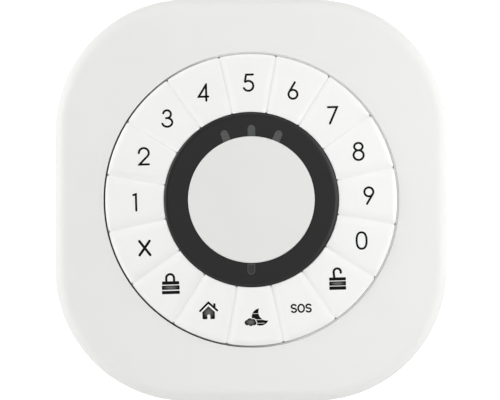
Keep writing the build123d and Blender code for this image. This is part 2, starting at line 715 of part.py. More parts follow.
with BuildPart() as light_ring:
    # Half section, (radius, height), turned about the Y axis.
    with BuildSketch(Plane.XY) as ring_section:
        edge_radius = (RING_EDGE_WIDTH ** 2 + RING_EDGE_DROP ** 2) / (2 * RING_EDGE_DROP)
        with BuildLine():
            Polyline((RING_OUTER_RADIUS - RING_EDGE_WIDTH, -RING_TOP),
                     (RING_INNER_RADIUS, -RING_TOP),
                     (RING_INNER_RADIUS, -RING_BOTTOM),
                     (RING_OUTER_RADIUS, -RING_BOTTOM),
                     (RING_OUTER_RADIUS, RING_EDGE_DROP - RING_TOP))
            RadiusArc((RING_OUTER_RADIUS, RING_EDGE_DROP - RING_TOP),
                      (RING_OUTER_RADIUS - RING_EDGE_WIDTH, -RING_TOP), edge_radius)
        make_face()
    revolve(axis=Axis.Y)
    with BuildSketch(level(RING_BOTTOM)):
        window_outline(0)
    extrude(amount=RING_TOP - RING_BOTTOM, mode=Mode.SUBTRACT)
save(light_ring, "light_ring")

pipe_bottom = BOARD_FRONT + LED_HEIGHT + 0.1
with BuildPart() as light_pipes:
    with BuildSketch(level(pipe_bottom)):
        window_outline(WINDOW_FIT)
        Circle(RING_INNER_RADIUS + WINDOW_FIT, mode=Mode.SUBTRACT)
    extrude(amount=RING_TOP - WINDOW_SINK - pipe_bottom)
save(light_pipes, "light_pipes")

with BuildPart() as centre_disc:
    with BuildSketch(level(DISC_BOTTOM)):
        Circle(DISC_RADIUS)
    extrude(amount=DISC_TOP - DISC_BOTTOM)
    fillet(centre_disc.faces().sort_by(Axis.Y)[0].edges(), DISC_EDGE_RADIUS)
save(centre_disc, "centre_disc")

with BuildPart() as tag_reader_board:
    with BuildSketch(level(READER_BOTTOM)):
        Circle(READER_RADIUS)
    extrude(amount=READER_THICKNESS)
save(tag_reader_board, "tag_reader_board")

with BuildPart() as tag_reader_coil:
    with BuildSketch(level(READER_BOTTOM + READER_THICKNESS)):
        ring_outline(COIL_OUTER_RADIUS, COIL_INNER_RADIUS)
    extrude(amount=COIL_THICKNESS)
save(tag_reader_coil, "tag_reader_coil")
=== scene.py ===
# Looks of the alarm keypad panel: materials for every part, the soft web between the keys, the
# printed legends, the silicone domes, small moulded marks, and the studio around it.
#
# The frame is the CAD's: the back of the wall plate is the plane Y = 0, the keys face -Y, +Z is up.
# Shapes are drawn in millimetres as (right, up, height), height being the distance from the wall.

from math import atan2, ceil, copysign, cos, hypot, pi, radians, sin, sqrt

import bmesh
import bpy
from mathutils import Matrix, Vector


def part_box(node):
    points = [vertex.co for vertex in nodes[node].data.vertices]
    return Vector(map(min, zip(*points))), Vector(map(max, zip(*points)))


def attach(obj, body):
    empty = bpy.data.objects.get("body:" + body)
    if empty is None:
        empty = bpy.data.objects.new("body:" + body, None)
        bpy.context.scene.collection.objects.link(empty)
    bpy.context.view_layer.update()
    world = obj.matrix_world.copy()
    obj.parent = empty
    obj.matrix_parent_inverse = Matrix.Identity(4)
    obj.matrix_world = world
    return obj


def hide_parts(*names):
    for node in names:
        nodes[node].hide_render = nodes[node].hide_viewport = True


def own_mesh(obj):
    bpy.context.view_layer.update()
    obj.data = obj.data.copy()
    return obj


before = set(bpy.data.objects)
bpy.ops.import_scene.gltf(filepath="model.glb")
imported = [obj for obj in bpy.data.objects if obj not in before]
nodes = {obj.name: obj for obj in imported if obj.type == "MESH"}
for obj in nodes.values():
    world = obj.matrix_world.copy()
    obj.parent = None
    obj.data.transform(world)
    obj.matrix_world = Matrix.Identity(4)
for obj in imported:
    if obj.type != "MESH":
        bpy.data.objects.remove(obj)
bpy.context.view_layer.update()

# ================================================================ sizes, mm and degrees

MM = 0.001
AXIS_GAP = 0.001             # a turned solid's smallest radius


def front_of(node):
    """Height of a node's front above the wall."""
    return -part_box(node)[0].y / MM


def radius_of(node):
    """Radius of a round node about the middle of the panel."""
    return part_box(node)[1].x / MM


KEY_NAMES = ["5", "6", "7", "8", "9", "0", "disarm", "sos",
             "night", "home", "arm", "x", "1", "2", "3", "4"]
KEY_PITCH = 360 / len(KEY_NAMES)
KEY_TURN = 1.55              # the key pattern, anticlockwise from upright
KEY_GAP = 0.4
KEY_TOP = front_of("key_5")
KEY_DEPTH = 2.4
KEY_ROOF = 1.2
KEY_WALL = 1.0
KEY_STEM_RADIUS = 2.0
STEM_END = -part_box("key_5")[1].y / MM
KEY_CIRCLE = 32.6
KEY_INNER_RADIUS = radius_of("light_ring") + 0.1
KEY_OUTER_RADIUS = radius_of("key_web") - 0.39
BOARD_FRONT = front_of("circuit_board")
RING_TOP = front_of("light_ring")

# A key's face falls away softly towards its edges: (reach inwards, drop at the edge).
FALL_TO_NEIGHBOUR = (2.5, 0.58)
FALL_TO_COVER = (1.9, 0.62)
FALL_TO_RING = (0.7, 0.12)
FALL_POWER = 2.2
KEY_CORNER = 0.3             # radius of a key's outline at its corners
FLAT_CORNER = 1.5            # and of the flat middle of its face
KEY_LIP = 0.06               # height of the sharp edge below the fall
SKIN_TUCK = 0.9995           # scale of the last loop of the fall, so that it lies within the edge

INK_HEIGHT = 0.015           # above the key's face
INK_ROOT = 0.05              # below it
STROKE = 0.585
BOLD_STROKE = 0.7
SHACKLE_STROKE = 0.63
ROOF_STROKE = 0.56
THIN_STROKE = 0.465

WEB_FOOT = 23.9
WEB_HOOP_TOP = 24.4
WEB_HOOP_WIDTH = 0.8
WEB_BLADE_END = 0.3          # rounding of a blade's ends
WEB_BLADE_FOOT = 0.5         # half its width below the keys
WEB_DISH = 0.035             # depth of the hollow along a blade's top
# The rim's tilt is made up: its depth on the left shows the black frame as a dark line in place of the
# shade in the gap there.
WEB_RIM_LOW = 24.3           # the rim's height where it sits deepest, at the left
WEB_RIM_HIGH = 26.75         # and where it sits highest, at the right
WEB_RIM_HIGH_AT = 18.0
WEB_RIM_CLEARANCE = 0.13     # between the keys and the rim
WEB_RIM_THIN = 0.02          # its width at the left
WEB_RIM_WIDE = 0.34          # and at the right, where it meets the cover

# ================================================================ mesh helpers


def front(x, z, height):
    """The point at (right, up, height), in metres."""
    return (x * MM, -height * MM, z * MM)


def mesh_object(name, verts, faces):
    """An object from points in (right, up, height) and faces, with its normals outwards."""
    mesh = bpy.data.meshes.new(name)
    mesh.from_pydata([front(*v) for v in verts], [], faces)
    shape = bmesh.new()
    shape.from_mesh(mesh)
    bmesh.ops.recalc_face_normals(shape, faces=shape.faces)
    shape.to_mesh(mesh)
    shape.free()
    piece = bpy.data.objects.new(name, mesh)
    bpy.context.scene.collection.objects.link(piece)
    return piece


def loft(name, loops, closed):
    """A skin over loops of equal length. If closed, the last loop joins the first;
    if not, the two end loops are capped."""
    size = len(loops[0])
    verts = [point for loop in loops for point in loop]
    faces = []
    for k in range(len(loops) if closed else len(loops) - 1):
        here, there = k * size, (k + 1) % len(loops) * size
        for i in range(size):
            j = (i + 1) % size
            faces.append((here + i, here + j, there + j, there + i))
    if not closed:
        faces.append(tuple(range(size)))
        faces.append(tuple(range(len(verts) - size, len(verts))))
    return mesh_object(name, verts, faces)


def carve(piece, others, operation):
    """Adds closed solids to a piece or cuts them from it, and deletes them."""
    for other in others:
        step = piece.modifiers.new(other.name, "BOOLEAN")
        step.operation = operation
        step.solver = "EXACT"
        step.object = other
    bpy.context.view_layer.update()
    shaped = bpy.data.meshes.new_from_object(
        piece.evaluated_get(bpy.context.evaluated_depsgraph_get()))
    piece.modifiers.clear()
    piece.data = shaped
    for other in others:
        bpy.data.objects.remove(other)
    return piece


def smooth(piece, angle=35.0):
    """Smooth shading, apart from edges sharper than the angle."""
    for face in piece.data.polygons:
        face.use_smooth = True
    shape = bmesh.new()
    shape.from_mesh(piece.data)
    for edge in shape.edges:
        edge.smooth = len(edge.link_faces) == 2 and edge.calc_face_angle() < radians(angle)
    shape.to_mesh(piece.data)
    shape.free()
    return piece


def arc(x, z, radius_x, radius_z, start, end, step=7.5):
    """Points along an ellipse's arc, anticlockwise if it ends at the larger angle."""
    count = max(2, ceil(abs(end - start) / step))
    angles = [radians(start + (end - start) * i / count) for i in range(count + 1)]
    return [(x + radius_x * cos(a), z + radius_z * sin(a)) for a in angles]


def ellipse(x, z, radius_x, radius_z):
    return arc(x, z, radius_x, radius_z, 0, 360)[:-1]


def superellipse(half_x, half_z, power):
    """A closed outline between an ellipse and a rectangle."""
    return [(copysign(abs(c) ** (2 / power), c) * half_x, copysign(abs(s) ** (2 / power), s) * half_z)
            for c, s in ellipse(0, 0, 1, 1)]


def rounded_box(left, right, low, high, radius):
    """Outline of a rectangle with round corners."""
    corners = ((right, high, 0), (left, high, 90), (left, low, 180), (right, low, 270))
    outline = []
    for x, z, start in corners:
        centre_x = x - copysign(radius, x - (left + right) / 2)
        centre_z = z - copysign(radius, z - (low + high) / 2)
        outline += arc(centre_x, centre_z, radius, radius, start, start + 90, 22.5)
    return outline


def normal_between(a, b):
    """Unit normal to the left of the way from a to b."""
    length = hypot(b[0] - a[0], b[1] - a[1])
    return (a[1] - b[1]) / length, (b[0] - a[0]) / length


def side_of(points, half, closed, reach=1.5):
    """The line half a stroke to the left of a path. A corner is mitred, and the mitre is
    clipped where it would reach further than reach times the half width."""
    line = []
    count = len(points)
    for i, (x, z) in enumerate(points):
        first = normal_between(points[i - 1], (x, z)) if closed or i > 0 else None
        last = normal_between((x, z), points[(i + 1) % count]) if closed or i < count - 1 else None
        n1, n2 = first or last, last or first
        length = hypot(n1[0] + n2[0], n1[1] + n2[1])
        bx, bz = (n1[0] + n2[0]) / length, (n1[1] + n2[1]) / length
        share = n1[0] * bx + n1[1] * bz
        turns_right = n1[0] * n2[1] - n1[1] * n2[0] < 0
        if turns_right and share < 1 / reach:
            # Both points lie on the clipping line, one on each of the stroke's edges.
            along = (reach - share) * half / sqrt(1 - share * share)
            line.append((x + n1[0] * half + n1[1] * along, z + n1[1] * half - n1[0] * along))
            line.append((x + n2[0] * half - n2[1] * along, z + n2[1] * half + n2[0] * along))
        else:
            line.append((x + bx * half / share, z + bz * half / share))
    return line


def round_cap(end, before, half):
    """The half circle at a stroke's end, from its left side to its right."""
    nx, nz = normal_between(before, end)
    start = atan2(nz, nx)
    turns = [start - pi * k / 6 for k in range(1, 6)]
    return [(end[0] + half * cos(a), end[1] + half * sin(a)) for a in turns]


def stroke_loops(points, width, closed):
    """Outline of an open stroke, or outer and inner outline of a closed one."""
    half = width / 2
    left = side_of(points, half, closed)
    right = side_of(points[::-1], half, closed)
    if closed:
        return left, right[::-1]
    start_cap = round_cap(points[0], points[1], half)
    return left + round_cap(points[-1], points[-2], half) + right + start_cap, None


def as_drawn(x, z):
    return x, z


def prism(name, outline, low, high, place=as_drawn):
    """An outline given thickness. place moves a flat point to where it belongs."""
    flat = [place(x, z) for x, z in outline]
    return loft(name, [[(*p, low) for p in flat], [(*p, high) for p in flat]], False)


def stroke_solid(name, points, width, closed, low, high, place=as_drawn):
    """A stroke given thickness."""
    outer, inner = stroke_loops(points, width, closed)
    if inner is None:
        return prism(name, outer, low, high, place)
    sections = []
    for a, b in zip(outer, inner):
        a, b = place(*a), place(*b)
        sections.append([(*a, low), (*a, high), (*b, high), (*b, low)])
    return loft(name, sections, True)


def joined(name, solids):
    """One piece from overlapping solids."""
    piece = solids[0]
    if len(solids) > 1:
        carve(piece, solids[1:], "UNION")
    piece.name = name
    piece.data.name = name
    return piece


def lathe(name, profile, centre=(0, 0), count=96):
    """A closed (radius, height) profile turned about an axis along Y."""
    loops = []
    for k in range(count):
        angle = 2 * pi * k / count
        loops.append([(centre[0] + r * cos(angle), centre[1] + r * sin(angle), h) for r, h in profile])
    return loft(name, loops, True)


# ================================================================ material helpers


def linear(grey, tint=(0, 0, 0)):
    """A colour from its brightness on screen, 0 to 255, with a small tint on each channel."""
    channels = [(grey + t) / 255 for t in tint]
    return tuple(c / 12.92 if c <= 0.04045 else ((c + 0.055) / 1.055) ** 2.4 for c in channels)


class Look:
    """A Principled material, and short ways to add the nodes that shape it."""

    def __init__(self, name, roughness=0.5, metallic=0.0, specular=0.5, coat=0.0, sheen=0.0):
        self.material = bpy.data.materials.new(name)
        self.material.use_nodes = True
        self.tree = self.material.node_tree
        self.shader = self.tree.nodes["Principled BSDF"]
        self.set("Roughness", roughness)
        self.set("Metallic", metallic)
        self.set("Specular IOR Level", specular)
        self.set("Coat Weight", coat)
        self.set("Sheen Weight", sheen)
        self.place = self.add("ShaderNodeTexCoord").outputs["Object"]

    def set(self, socket, value):
        self.shader.inputs[socket].default_value = value

    def add(self, kind, **settings):
        node = self.tree.nodes.new(kind)
        for key, value in settings.items():
            setattr(node, key, value)
        return node

    def link(self, output, target):
        self.tree.links.new(output, target)

    def noise(self, size, detail=2.0, stretch=None):
        """Noise with features of a size in mm, stretched along an axis if asked."""
        node = self.add("ShaderNodeTexNoise")
        node.inputs["Scale"].default_value = 1 / (size * MM)
        node.inputs["Detail"].default_value = detail
        source = self.place
        if stretch:
            mapping = self.add("ShaderNodeMapping")
            mapping.inputs["Scale"].default_value = stretch
            self.link(self.place, mapping.inputs["Vector"])
            source = mapping.outputs["Vector"]
        self.link(source, node.inputs["Vector"])
        return node.outputs["Fac"]

    def cells(self, size, feature="F1"):
        node = self.add("ShaderNodeTexVoronoi", feature=feature)
        node.inputs["Scale"].default_value = 1 / (size * MM)
        self.link(self.place, node.inputs["Vector"])
        return node.outputs["Distance"]

    def axis(self, index):
        """One coordinate, in mm."""
        split = self.add("ShaderNodeSeparateXYZ")
        self.link(self.place, split.inputs[0])
        return self.maths("MULTIPLY", split.outputs[index], 1 / MM)

    def maths(self, operation, a, b=0.0):
        node = self.add("ShaderNodeMath", operation=operation)
        for value, socket in ((a, node.inputs[0]), (b, node.inputs[1])):
            if isinstance(value, (int, float)):
                socket.default_value = value
            else:
                self.link(value, socket)
        return node.outputs[0]

    def spread(self, value, low, high, to_low=0.0, to_high=1.0):
        """Maps a value from one range to another, and stops at its ends."""
        node = self.add("ShaderNodeMapRange")
        for socket, number in zip(node.inputs[1:5], (low, high, to_low, to_high)):
            socket.default_value = number
        self.link(value, node.inputs[0])
        return node.outputs[0]

    def blend(self, factor, low, high):
        """Colour between two colours or colour outputs."""
        node = self.add("ShaderNodeMix", data_type="RGBA")
        self.link(factor, node.inputs["Factor"])
        for value, socket in ((low, node.inputs[6]), (high, node.inputs[7])):
            if isinstance(value, tuple):
                socket.default_value = (*value, 1)
            else:
                self.link(value, socket)
        return node.outputs[2]

    def colour(self, output):
        self.link(output, self.shader.inputs["Base Color"])

    def roughness(self, output):
        self.link(output, self.shader.inputs["Roughness"])

    def bump(self, height, depth, after=None):
        """Relief with a depth in mm. Another bump's output can come before it."""
        node = self.add("ShaderNodeBump")
        node.inputs["Distance"].default_value = depth * MM
        self.link(height, node.inputs["Height"])
        if after:
            self.link(after, node.inputs["Normal"])
        self.link(node.outputs[0], self.shader.inputs["Normal"])
        return node.outputs[0]

    def dress(self, *names):
        """Puts the material on CAD nodes."""
        for name in names:
            for slot in nodes[name].material_slots:
                slot.material = self.material


def moulded(name, light, dark, roughness, grain, depth, **options):
    """A moulded plastic: fine spark-eroded grain, soft tone changes and uneven gloss."""
    look = Look(name, roughness, **options)
    broad = look.noise(28.0, 3.0)
    look.colour(look.blend(look.spread(broad, 0.3, 0.7), dark, light))
    fine = look.noise(grain, 3.0)
    look.roughness(look.spread(look.noise(6.0, 4.0), 0.3, 0.7, roughness - 0.04, roughness + 0.05))
    look.bump(fine, depth)
    return look


def metal(name, light, dark, roughness, brushed, **options):
    """A plated or turned metal with fine drawn lines and a few dull patches."""
    look = Look(name, roughness, metallic=1.0, **options)
    lines = look.noise(0.25, 2.0, brushed)
    patches = look.noise(4.0, 4.0)
    look.colour(look.blend(look.spread(patches, 0.35, 0.65), dark, light))
    look.roughness(look.spread(patches, 0.3, 0.7, roughness - 0.08, roughness + 0.1))
    look.bump(lines, 0.01)
    return look


# ================================================================ materials of the CAD nodes

housing = moulded("housing_abs", linear(234, (0, 0, -2)), linear(232, (0, 0, -2)), 0.5, 0.22, 0.012)
housing.dress("front_cover", "wall_plate")

rear = moulded("rear_abs", linear(222, (0, 0, -2)), linear(216, (0, 0, -2)), 0.55, 0.3, 0.02)
rear.dress("rear_housing")

key_plastic = moulded("key_abs", linear(243, (0, 0, -1)), linear(241, (0, 0, -1)), 0.42, 0.18, 0.006)
key_plastic.dress(*["key_" + name for name in KEY_NAMES])

disc_plastic = moulded("disc_abs", linear(228, (0, 0, -2)), linear(226, (0, 0, -2)), 0.5, 0.2, 0.008)
disc_plastic.dress("centre_disc")

smoked = moulded("smoked_polycarbonate", linear(12, (0, 0.5, 0)), linear(9, (0, 0.5, 0)),
                 0.36, 0.5, 0.002, specular=0.46)
smoked.dress("light_ring")

black_plastic = moulded("black_abs", linear(38), linear(30), 0.5, 0.25, 0.01)
black_plastic.dress("key_frame")

pin_plastic = moulded("acetal", linear(214, (2, 0, -6)), linear(206, (2, 0, -6)), 0.38, 0.3, 0.004)
pin_plastic.dress("tamper_pin")

silicone = moulded("white_silicone", linear(243, (0, 0, -1)), linear(241, (0, 0, -1)), 0.5, 0.25,
                   0.004)
silicone.dress("key_web")

mat_silicone = moulded("grey_silicone", linear(172), linear(160), 0.62, 0.3, 0.01, sheen=0.1)
mat_silicone.dress("dome_mat")

carbon = moulded("carbon_rubber", linear(42), linear(30), 0.75, 0.12, 0.02)
carbon.dress("contact_pills")

chip_plastic = moulded("chip_epoxy", linear(44), linear(36), 0.6, 0.15, 0.01)
chip_plastic.dress("controller_chip")

buzzer_plastic = moulded("buzzer_case", linear(34), linear(28), 0.45, 0.2, 0.006)
buzzer_plastic.dress("buzzer", "tamper_switch")

led_resin = moulded("led_resin", linear(236, (4, 0, -16)), linear(226, (4, 0, -22)), 0.25, 0.4, 0.002,
                    coat=0.3)
led_resin.dress("status_leds")

plated = metal("nickel_plate", linear(214, (2, 0, -5)), linear(188, (2, 0, -6)), 0.32, (1, 1, 8))
plated.dress("battery_contacts")

spring = metal("spring_steel", linear(196, (1, 0, -2)), linear(160, (1, 0, -2)), 0.3, (6, 6, 1))
spring.dress("battery_springs", "radio_antenna")

screw_steel = metal("zinc_screw", linear(190, (0, 1, 4)), linear(150, (0, 1, 4)), 0.34, (3, 3, 3))
screw_steel.dress("board_screws", "cover_screws")

shield = metal("tinned_shield", linear(204, (2, 1, -3)), linear(184, (2, 1, -3)), 0.42, (1, 1, 5))
shield.dress("radio_module")

coil_copper = metal("coil_copper", linear(206, (10, -50, -96)), linear(176, (10, -50, -90)), 0.38,
                    (1, 1, 1))
coil_copper.dress("tag_reader_coil")


def light_pipe_look():
    """Smoke-tinted acrylic, paler at the three windows above the disc than at the one below."""
    look = Look("light_pipe_acrylic", 0.3, specular=0.5)
    cloud = look.blend(look.spread(look.noise(0.9, 3.0), 0.3, 0.7), linear(70, (0, 2, 1)),
                       linear(77, (0, 2, 1)))
    below = look.blend(look.spread(look.noise(0.9, 3.0), 0.3, 0.7), linear(28, (0, 2, 1)),
                       linear(36, (0, 2, 1)))
    upper = look.spread(look.axis(2), -1.0, 1.0)
    look.colour(look.blend(upper, below, cloud))
    look.bump(look.noise(0.5), 0.004)
    return look


def board_look():
    """Green solder mask over a maze of copper runs, with small tinned dots."""
    look = Look("solder_mask", 0.34, coat=0.2)
    size = 1.6
    mapping = look.add("ShaderNodeMapping")
    mapping.inputs["Scale"].default_value = (1 / (size * MM),) * 3
    look.link(look.place, mapping.inputs["Vector"])
    runs = look.add("ShaderNodeTexWave", wave_type="BANDS", bands_direction="DIAGONAL")
    runs.inputs["Scale"].default_value = 0.45
    runs.inputs["Distortion"].default_value = 6.0
    runs.inputs["Detail"].default_value = 0.0
    look.link(mapping.outputs["Vector"], runs.inputs["Vector"])
    track = look.spread(runs.outputs["Fac"], 0.62, 0.68)
    green = look.blend(track, linear(64, (-40, 18, -16)), linear(84, (-44, 26, -20)))
    dot = look.spread(look.cells(3.1), 0.1, 0.14, 1.0, 0.0)
    look.colour(look.blend(dot, green, linear(196, (4, 0, -10))))
    look.bump(track, 0.03)
    return look


def foam_look():
    """Foam tape under a waxed paper liner."""
    look = Look("foam_tape", 0.7, sheen=0.15)
    weave = look.noise(0.8, 4.0)
    look.colour(look.blend(look.spread(weave, 0.35, 0.65), linear(206, (-26, -6, 6)),
                           linear(218, (-24, -4, 6))))
    look.bump(look.cells(0.6), 0.05)
    return look


def cell_look(name, foot_down):
    """A battery's printed wrap: graphite body and a copper band near the button, steel ends."""
    look = Look(name, 0.3, coat=0.25)
    low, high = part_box(name)[0].z / MM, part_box(name)[1].z / MM
    length = high - low
    up = look.axis(2)
    # Distance from the flat foot of the cell towards its button.
    travel = look.maths("SUBTRACT", up, low) if foot_down else look.maths("SUBTRACT", high, up)
    band = look.spread(travel, length * 0.68, length * 0.68 + 0.1)
    steel_foot = look.spread(travel, 0.45, 0.5, 1.0, 0.0)
    steel_head = look.spread(travel, length - 1.6, length - 1.55)
    steel = look.maths("MAXIMUM", steel_foot, steel_head)
    scuff = look.spread(look.noise(2.5, 5.0), 0.4, 0.75)
    body = look.blend(scuff, linear(46, (0, 2, 6)), linear(58, (0, 2, 6)))
    sleeve = look.blend(band, body, linear(186, (18, -36, -84)))
    ring = look.maths("MULTIPLY", look.spread(travel, length * 0.68 - 1.3, length * 0.68 - 1.2),
                      look.spread(travel, length * 0.68 - 0.7, length * 0.68 - 0.6, 1.0, 0.0))
    sleeve = look.blend(ring, sleeve, linear(225))
    look.colour(look.blend(steel, sleeve, linear(205, (2, 0, -4))))
    look.link(steel, look.shader.inputs["Metallic"])
    look.roughness(look.spread(look.noise(5.0, 4.0), 0.3, 0.7, 0.24, 0.38))
    look.bump(look.noise(0.6, 3.0, (1, 1, 6)), 0.01)
    return look


light_pipe_look().dress("light_pipes")
board_look().dress("circuit_board", "tag_reader_board")
foam_look().dress("adhesive_strips")
for number in (1, 2, 3, 4):
    cell = "battery_" + str(number)
    cell_look(cell, number % 2 == 1).dress(cell)


def ink_look():
    """Printed black ink, a little worn in its gloss."""
    look = Look("ink", 0.5, specular=0.12)
    look.colour(look.blend(look.spread(look.noise(0.8, 4.0), 0.3, 0.7), linear(4), linear(12)))
    look.roughness(look.spread(look.noise(1.5, 3.0), 0.3, 0.7, 0.4, 0.55))
    return look


def shaded_ink_look():
    """The same ink printed thinner towards the middle of a shape."""
    look = Look("shaded_ink", 0.5, specular=0.12)
    generated = look.add("ShaderNodeTexCoord").outputs["Generated"]
    mapping = look.add("ShaderNodeMapping")
    mapping.inputs["Location"].default_value = (-1, 0, -1)
    mapping.inputs["Scale"].default_value = (2, 0, 2)
    look.link(generated, mapping.inputs["Vector"])
    reach = look.add("ShaderNodeVectorMath", operation="LENGTH")
    look.link(mapping.outputs["Vector"], reach.inputs[0])
    edge = look.spread(reach.outputs["Value"], 0.25, 0.9)
    middle = look.blend(look.noise(0.7, 3.0), linear(92), linear(106))
    look.colour(look.blend(edge, middle, linear(12)))
    return look


ink = ink_look()
shaded_ink = shaded_ink_look()


def finish_piece(piece, look, body, slot):
    """Material and body of a new piece. The slot argument is not used."""
    piece.data.materials.clear()
    piece.data.materials.append(look.material)
    for face in piece.data.polygons:
        face.material_index = 0
    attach(piece, body)
    return piece


# ================================================================ the soft-edged keys


def key_outline(insets, corner):
    """A key's outline with its middle line upwards, as (right, up, weights), where the weights
    say how much a point belongs to the sides, the outer edge and the inner edge. insets are
    how far the outline stands back at each of them."""
    side, outer, inner = insets
    flank = KEY_GAP / 2 + side
    far, near = KEY_OUTER_RADIUS - outer, KEY_INNER_RADIUS + inner
    groove = radians(90 - KEY_PITCH / 2)

    def turned(along, inwards, weights):
        """A point from its place beside the right-hand groove."""
        return (along * cos(groove) - inwards * sin(groove),
                along * sin(groove) + inwards * cos(groove), weights)

    steps = 6
    centre_v = flank + corner
    far_u = sqrt((far - corner) ** 2 - centre_v ** 2)
    near_u = sqrt((near + corner) ** 2 - centre_v ** 2)
    far_turn, near_turn = atan2(centre_v, far_u), atan2(centre_v, near_u) + pi
    half = []
    for k in range(steps + 1):
        share = k / steps
        angle = far_turn * (1 - share) - pi / 2 * share
        half.append(turned(far_u + corner * cos(angle), centre_v + corner * sin(angle),
                           (share, 1 - share, 0)))
    for k in range(steps + 1):
        share = k / steps
        angle = -pi / 2 * (1 - share) + (near_turn - 2 * pi) * share
        half.append(turned(near_u + corner * cos(angle), centre_v + corner * sin(angle),
                           (1 - share, 0, share)))
    outline = half + [(-x, z, weights) for x, z, weights in half[::-1]]
    return outline


def with_arcs(outline):
    """The same outline with its inner and outer edge as arcs of many points."""
    steps = 16

    def swept(a, b):
        radius = hypot(a[0], a[1])
        start, end = atan2(a[1], a[0]), atan2(b[1], b[0])
        turns = [start + (end - start) * k / steps for k in range(1, steps)]
        return [(radius * cos(t), radius * sin(t), a[2]) for t in turns]

    half = len(outline) // 2
    return (outline[:half] + swept(outline[half - 1], outline[half]) + outline[half:]
            + swept(outline[-1], outline[0]))


def key_skin(index, key):
    """A hollow key with a stem, whose face falls away softly towards its four edges."""
    turn = radians(KEY_TURN - index * KEY_PITCH)
    falls = (FALL_TO_NEIGHBOUR, FALL_TO_COVER, FALL_TO_RING)
    bottom, roof = KEY_TOP - KEY_DEPTH, KEY_TOP - KEY_ROOF

    def loop(insets, corner, height_at):
        points = with_arcs(key_outline(insets, corner))
        return [(x * cos(turn) - z * sin(turn), x * sin(turn) + z * cos(turn), height_at(weights))
                for x, z, weights in points]

    def fallen(share):
        """Heights across the face, where share is 0 where the fall begins and 1 at the edge."""
        return lambda weights: KEY_TOP - share ** FALL_POWER * sum(
            weight * drop for weight, (reach, drop) in zip(weights, falls))

    loops = []
    steps = 12
    for k in range(steps + 1):
        share = k / steps
        corner = KEY_CORNER + (FLAT_CORNER - KEY_CORNER) * (1 - share)
        loops.append(loop([reach * (1 - share) for reach, drop in falls], corner, fallen(share)))
    rim = loops.pop()
    loops.append([(x * SKIN_TUCK, z * SKIN_TUCK, height) for x, z, height in rim])
    loops.append([(x, z, height - KEY_LIP) for x, z, height in rim])
    loops.append([(x, z, bottom) for x, z, height in rim])
    wall = (KEY_WALL, KEY_WALL, KEY_WALL)
    loops.append(loop(wall, KEY_CORNER, lambda weights: bottom))
    loops.append(loop(wall, KEY_CORNER, lambda weights: roof))
    shell = loft("key_skin_" + key, loops, False)
    angle = radians(90) + turn
    centre = (KEY_CIRCLE * cos(angle), KEY_CIRCLE * sin(angle))
    root = roof + 0.3            # inside the roof
    stem = lathe("stem", [(AXIS_GAP, root), (KEY_STEM_RADIUS, root), (KEY_STEM_RADIUS, STEM_END),
                          (AXIS_GAP, STEM_END)], centre, 40)
    skin = smooth(joined("key_skin_" + key, [shell, stem]), 32.0)
    finish_piece(skin, key_plastic, "key_" + key, "key_plastic")
    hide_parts("key_" + key)


for number, key_name in enumerate(KEY_NAMES):
    key_skin(number, key_name)

# ================================================================ the web between the keys


def blade_section(lip):
    """Half of a blade's outline across its length, (offset, height), from its top downwards."""
    half = KEY_GAP / 2
    top = [(half * k / 4, lip - WEB_DISH * (1 - (k / 4) ** 2)) for k in range(5)]
    return top + [(half, WEB_HOOP_TOP), (WEB_BLADE_FOOT, WEB_HOOP_TOP),
                  (WEB_BLADE_FOOT, WEB_FOOT)]


def blade(angle):
    """One blade of the web, from the ring to the keys' outer edge. Its top carries on the
    slopes of the two keys beside it."""
    along = (cos(angle), sin(angle))
    across = (-sin(angle), cos(angle))
    lip = KEY_TOP - FALL_TO_NEIGHBOUR[1]
    start, end = KEY_INNER_RADIUS + 0.05, KEY_OUTER_RADIUS - 0.3
    rounding = [(WEB_BLADE_END * (1 - cos(k * pi / 12)), WEB_BLADE_END * (1 - sin(k * pi / 12)))
                for k in range(7)]
    stations = [(start + inwards, lowered) for inwards, lowered in rounding]
    stations += [(end - inwards, lowered) for inwards, lowered in rounding[::-1]]
    loops = []
    for radius, lowered in stations:
        half = blade_section(lip - lowered)
        outline = half + [(-offset, height) for offset, height in half[:0:-1]]
        loops.append([(along[0] * radius + across[0] * offset,
                       along[1] * radius + across[1] * offset, height) for offset, height in outline])
    return loft("blade", loops, False)


def web_rim():
    """The thin rim in the gap round the keys. It is set high on the right, and so deep on the left
    that the black frame shows beside it: the dark line this gives on the left stands in for the shade
    that falls into the gap there."""
    inner = KEY_OUTER_RADIUS + WEB_RIM_CLEARANCE
    flange = inner - 0.9         # reaches under the keys
    bevel = 0.02
    loops = []
    count = 192
    for k in range(count):
        angle = 2 * pi * k / count
        share = (cos(angle - radians(WEB_RIM_HIGH_AT)) + 0.8) / 0.9
        share = min(max(share, 0.0), 1.0)
        share = share * share * (3 - 2 * share)
        top = WEB_RIM_LOW + (WEB_RIM_HIGH - WEB_RIM_LOW) * share
        outer = inner + WEB_RIM_THIN + (WEB_RIM_WIDE - WEB_RIM_THIN) * sqrt(share)
        profile = [(flange, WEB_FOOT), (outer, WEB_FOOT), (outer, top - bevel),
                   (outer - bevel, top), (inner + bevel, top), (inner, top - bevel),
                   (inner, WEB_HOOP_TOP - 0.3), (flange, WEB_HOOP_TOP - 0.3)]
        loops.append([(r * cos(angle), r * sin(angle), h) for r, h in profile])
    return loft("rim", loops, True)


def web_hoop():
    """The flat hoop under the keys' inner edge."""
    inner = KEY_INNER_RADIUS - 0.3
    outer = inner + WEB_HOOP_WIDTH
    return lathe("hoop", [(inner, WEB_FOOT), (outer, WEB_FOOT), (outer, WEB_HOOP_TOP),
                          (inner, WEB_HOOP_TOP)])


groove_angles = [radians(90 + KEY_TURN - (index + 0.5) * KEY_PITCH)
                 for index in range(len(KEY_NAMES))]
web = joined("key_web_skin", [web_rim(), web_hoop()] + [blade(angle) for angle in groove_angles])
smooth(web, 50.0)
finish_piece(web, silicone, "keypad_unit", "white_silicone")
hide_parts("key_web")

# ================================================================ printed legends

